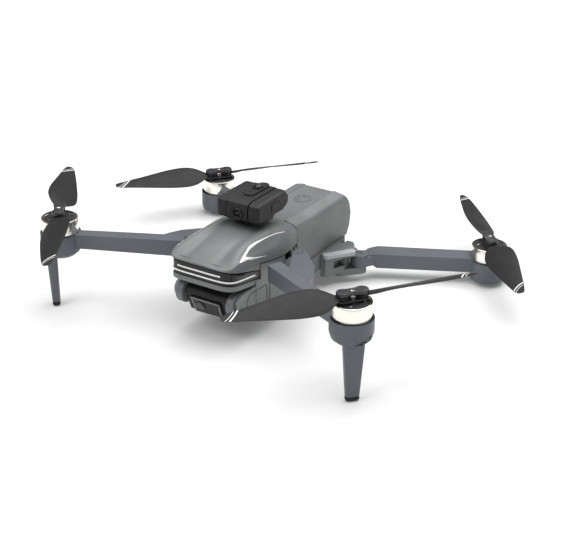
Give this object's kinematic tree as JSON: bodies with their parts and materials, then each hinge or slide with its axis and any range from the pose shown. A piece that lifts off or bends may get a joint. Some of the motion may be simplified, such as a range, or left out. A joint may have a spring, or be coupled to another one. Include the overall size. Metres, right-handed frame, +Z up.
{
  "type": "quadcopter drone",
  "caption": "Folding camera quadcopter with hinged arms, folding two-blade propellers, a tilting nose camera and an obstacle sensor on its hood.",
  "frame": {"origin": "on the ground, under the middle of the outline that the resting propellers draw", "axes": "+X to the machine's left, -Y towards the nose, +Z up"},
  "size_m": [0.3136, 0.296, 0.082],
  "materials": {
    "top_shell": "satin",
    "lower_shell": "satin",
    "battery_case": "satin",
    "power_button": "satin",
    "light_bar": "gloss",
    "camera_panel": "gloss",
    "camera_lens": "gloss",
    "module_dome": "gloss",
    "module_front_lens": "gloss",
    "belly_sensor": "gloss",
    "light_strip_upper": "gloss",
    "light_strip_lower": "gloss",
    "main_board": "satin",
    "camera_body": "matte",
    "module_base": "matte",
    "module_centre": "matte",
    "left_module_cap": "matte",
    "left_camera_cheek": "satin",
    "left_rear_bracket": "satin",
    "left_front_arm": "satin",
    "left_rear_arm": "satin",
    "left_front_leg": "satin",
    "left_front_foot": "matte",
    "left_rear_foot": "matte",
    "left_front_hinge_pin": "brushed",
    "left_rear_hinge_pin": "brushed",
    "left_front_motor_bell": "polished",
    "left_front_prop_hub": "satin",
    "left_front_stator": "satin",
    "left_front_blade_a": "satin",
    "left_front_blade_b": "satin",
    "left_rear_motor_bell": "polished",
    "left_rear_prop_hub": "satin",
    "left_rear_stator": "satin",
    "left_rear_blade_a": "satin",
    "left_rear_blade_b": "satin",
    "right_module_cap": "matte",
    "right_camera_cheek": "satin",
    "right_rear_bracket": "satin",
    "right_front_arm": "satin",
    "right_rear_arm": "satin",
    "right_front_leg": "satin",
    "right_front_foot": "matte",
    "right_rear_foot": "matte",
    "right_front_hinge_pin": "brushed",
    "right_rear_hinge_pin": "brushed",
    "right_front_motor_bell": "polished",
    "right_front_prop_hub": "satin",
    "right_front_stator": "satin",
    "right_front_blade_a": "satin",
    "right_front_blade_b": "satin",
    "right_rear_motor_bell": "polished",
    "right_rear_prop_hub": "satin",
    "right_rear_stator": "satin",
    "right_rear_blade_a": "satin",
    "right_rear_blade_b": "satin"
  },
  "bodies": {
    "fuselage": {"top_shell": "top_shell", "lower_shell": "lower_shell", "light_bar": "light_bar", "light_strip_upper": "light_strip_upper", "light_strip_lower": "light_strip_lower", "main_board": "main_board", "belly_sensor": "belly_sensor", "module_base": "module_base", "module_centre": "module_centre", "module_dome": "module_dome", "module_front_lens": "module_front_lens", "left_module_cap": "left_module_cap", "left_camera_cheek": "left_camera_cheek", "left_rear_bracket": "left_rear_bracket", "left_front_hinge_pin": "left_front_hinge_pin", "left_rear_hinge_pin": "left_rear_hinge_pin", "right_module_cap": "right_module_cap", "right_camera_cheek": "right_camera_cheek", "right_rear_bracket": "right_rear_bracket", "right_front_hinge_pin": "right_front_hinge_pin", "right_rear_hinge_pin": "right_rear_hinge_pin"},
    "battery": {"battery_case": "battery_case"},
    "button": {"power_button": "power_button"},
    "camera": {"camera_body": "camera_body", "camera_panel": "camera_panel", "camera_lens": "camera_lens"},
    "left_rear_arm": {"left_rear_arm": "left_rear_arm", "left_rear_foot": "left_rear_foot", "left_rear_stator": "left_rear_stator"},
    "left_rear_rotor": {"left_rear_motor_bell": "left_rear_motor_bell", "left_rear_prop_hub": "left_rear_prop_hub"},
    "left_rear_blade_a": {"left_rear_blade_a": "left_rear_blade_a"},
    "left_rear_blade_b": {"left_rear_blade_b": "left_rear_blade_b"},
    "left_front_arm": {"left_front_arm": "left_front_arm", "left_front_leg": "left_front_leg", "left_front_foot": "left_front_foot", "left_front_stator": "left_front_stator"},
    "left_front_rotor": {"left_front_motor_bell": "left_front_motor_bell", "left_front_prop_hub": "left_front_prop_hub"},
    "left_front_blade_a": {"left_front_blade_a": "left_front_blade_a"},
    "left_front_blade_b": {"left_front_blade_b": "left_front_blade_b"},
    "right_rear_arm": {"right_rear_arm": "right_rear_arm", "right_rear_foot": "right_rear_foot", "right_rear_stator": "right_rear_stator"},
    "right_rear_rotor": {"right_rear_motor_bell": "right_rear_motor_bell", "right_rear_prop_hub": "right_rear_prop_hub"},
    "right_rear_blade_a": {"right_rear_blade_a": "right_rear_blade_a"},
    "right_rear_blade_b": {"right_rear_blade_b": "right_rear_blade_b"},
    "right_front_arm": {"right_front_arm": "right_front_arm", "right_front_leg": "right_front_leg", "right_front_foot": "right_front_foot", "right_front_stator": "right_front_stator"},
    "right_front_rotor": {"right_front_motor_bell": "right_front_motor_bell", "right_front_prop_hub": "right_front_prop_hub"},
    "right_front_blade_a": {"right_front_blade_a": "right_front_blade_a"},
    "right_front_blade_b": {"right_front_blade_b": "right_front_blade_b"}
  },
  "joints": [
    {"name": "battery_slide", "type": "slide", "parent": "fuselage", "child": "battery", "axis": [0, 1, 0], "range_m": [0, 0.06]},
    {"name": "power_button_press", "type": "slide", "parent": "battery", "child": "button", "axis": [0, 0, -1], "range_m": [0, 0.0006], "stiffness_N_per_m": 600},
    {"name": "camera_tilt", "type": "hinge", "parent": "fuselage", "child": "camera", "pos_m": [0, -0.07221, 0.0256], "axis": [1, 0, 0], "range_deg": [-45, 60]},
    {"name": "left_rear_fold", "type": "hinge", "parent": "fuselage", "child": "left_rear_arm", "pos_m": [0.035, 0.04539, 0.014], "axis": [0, 0, -1], "range_deg": [0, 117]},
    {"name": "left_rear_spin", "type": "hinge", "parent": "left_rear_arm", "child": "left_rear_rotor", "pos_m": [0.1076, 0.08849, 0.0212], "axis": [0, 0, 1], "continuous": true},
    {"name": "left_rear_blade_a_fold", "type": "hinge", "parent": "left_rear_rotor", "child": "left_rear_blade_a", "pos_m": [0.10397, 0.09288, 0.029], "axis": [0, 0, 1], "range_deg": [0, 72.1]},
    {"name": "left_rear_blade_b_fold", "type": "hinge", "parent": "left_rear_rotor", "child": "left_rear_blade_b", "pos_m": [0.11123, 0.08409, 0.029], "axis": [0, 0, -1], "range_deg": [0, 107.9]},
    {"name": "left_front_fold", "type": "hinge", "parent": "fuselage", "child": "left_front_arm", "pos_m": [0.0315, -0.02261, 0.041], "axis": [0, 0, 1], "range_deg": [0, 120]},
    {"name": "left_front_spin", "type": "hinge", "parent": "left_front_arm", "child": "left_front_rotor", "pos_m": [0.1049, -0.08571, 0.0546], "axis": [0, 0, 1], "continuous": true},
    {"name": "left_front_blade_a_fold", "type": "hinge", "parent": "left_front_rotor", "child": "left_front_blade_a", "pos_m": [0.10825, -0.0811, 0.0624], "axis": [0, 0, 1], "range_deg": [0, 105]},
    {"name": "left_front_blade_b_fold", "type": "hinge", "parent": "left_front_rotor", "child": "left_front_blade_b", "pos_m": [0.10155, -0.09033, 0.0624], "axis": [0, 0, -1], "range_deg": [0, 75]},
    {"name": "right_rear_fold", "type": "hinge", "parent": "fuselage", "child": "right_rear_arm", "pos_m": [-0.035, 0.04539, 0.014], "axis": [0, 0, 1], "range_deg": [0, 117]},
    {"name": "right_rear_spin", "type": "hinge", "parent": "right_rear_arm", "child": "right_rear_rotor", "pos_m": [-0.1076, 0.08849, 0.0212], "axis": [0, 0, 1], "continuous": true},
    {"name": "right_rear_blade_a_fold", "type": "hinge", "parent": "right_rear_rotor", "child": "right_rear_blade_a", "pos_m": [-0.10397, 0.09288, 0.029], "axis": [0, 0, -1], "range_deg": [0, 72.1]},
    {"name": "right_rear_blade_b_fold", "type": "hinge", "parent": "right_rear_rotor", "child": "right_rear_blade_b", "pos_m": [-0.11123, 0.08409, 0.029], "axis": [0, 0, 1], "range_deg": [0, 107.9]},
    {"name": "right_front_fold", "type": "hinge", "parent": "fuselage", "child": "right_front_arm", "pos_m": [-0.0315, -0.02261, 0.041], "axis": [0, 0, -1], "range_deg": [0, 120]},
    {"name": "right_front_spin", "type": "hinge", "parent": "right_front_arm", "child": "right_front_rotor", "pos_m": [-0.1049, -0.08571, 0.0546], "axis": [0, 0, 1], "continuous": true},
    {"name": "right_front_blade_a_fold", "type": "hinge", "parent": "right_front_rotor", "child": "right_front_blade_a", "pos_m": [-0.10825, -0.0811, 0.0624], "axis": [0, 0, -1], "range_deg": [0, 105]},
    {"name": "right_front_blade_b_fold", "type": "hinge", "parent": "right_front_rotor", "child": "right_front_blade_b", "pos_m": [-0.10155, -0.09033, 0.0624], "axis": [0, 0, 1], "range_deg": [0, 75]}
  ],
  "couplings": [
    {"joint": "left_rear_blade_a_fold", "follows": "left_rear_fold", "ratio": 0.61624},
    {"joint": "left_rear_blade_b_fold", "follows": "left_rear_fold", "ratio": 0.92222},
    {"joint": "left_front_blade_a_fold", "follows": "left_rear_fold", "ratio": 0.89743},
    {"joint": "left_front_blade_b_fold", "follows": "left_rear_fold", "ratio": 0.64102},
    {"joint": "left_front_fold", "follows": "left_rear_fold", "ratio": 1.0256},
    {"joint": "right_rear_blade_a_fold", "follows": "right_rear_fold", "ratio": 0.61624},
    {"joint": "right_rear_blade_b_fold", "follows": "right_rear_fold", "ratio": 0.92222},
    {"joint": "right_front_blade_a_fold", "follows": "right_rear_fold", "ratio": 0.89743},
    {"joint": "right_front_blade_b_fold", "follows": "right_rear_fold", "ratio": 0.64102},
    {"joint": "right_front_fold", "follows": "right_rear_fold", "ratio": 1.0256}
  ]
}
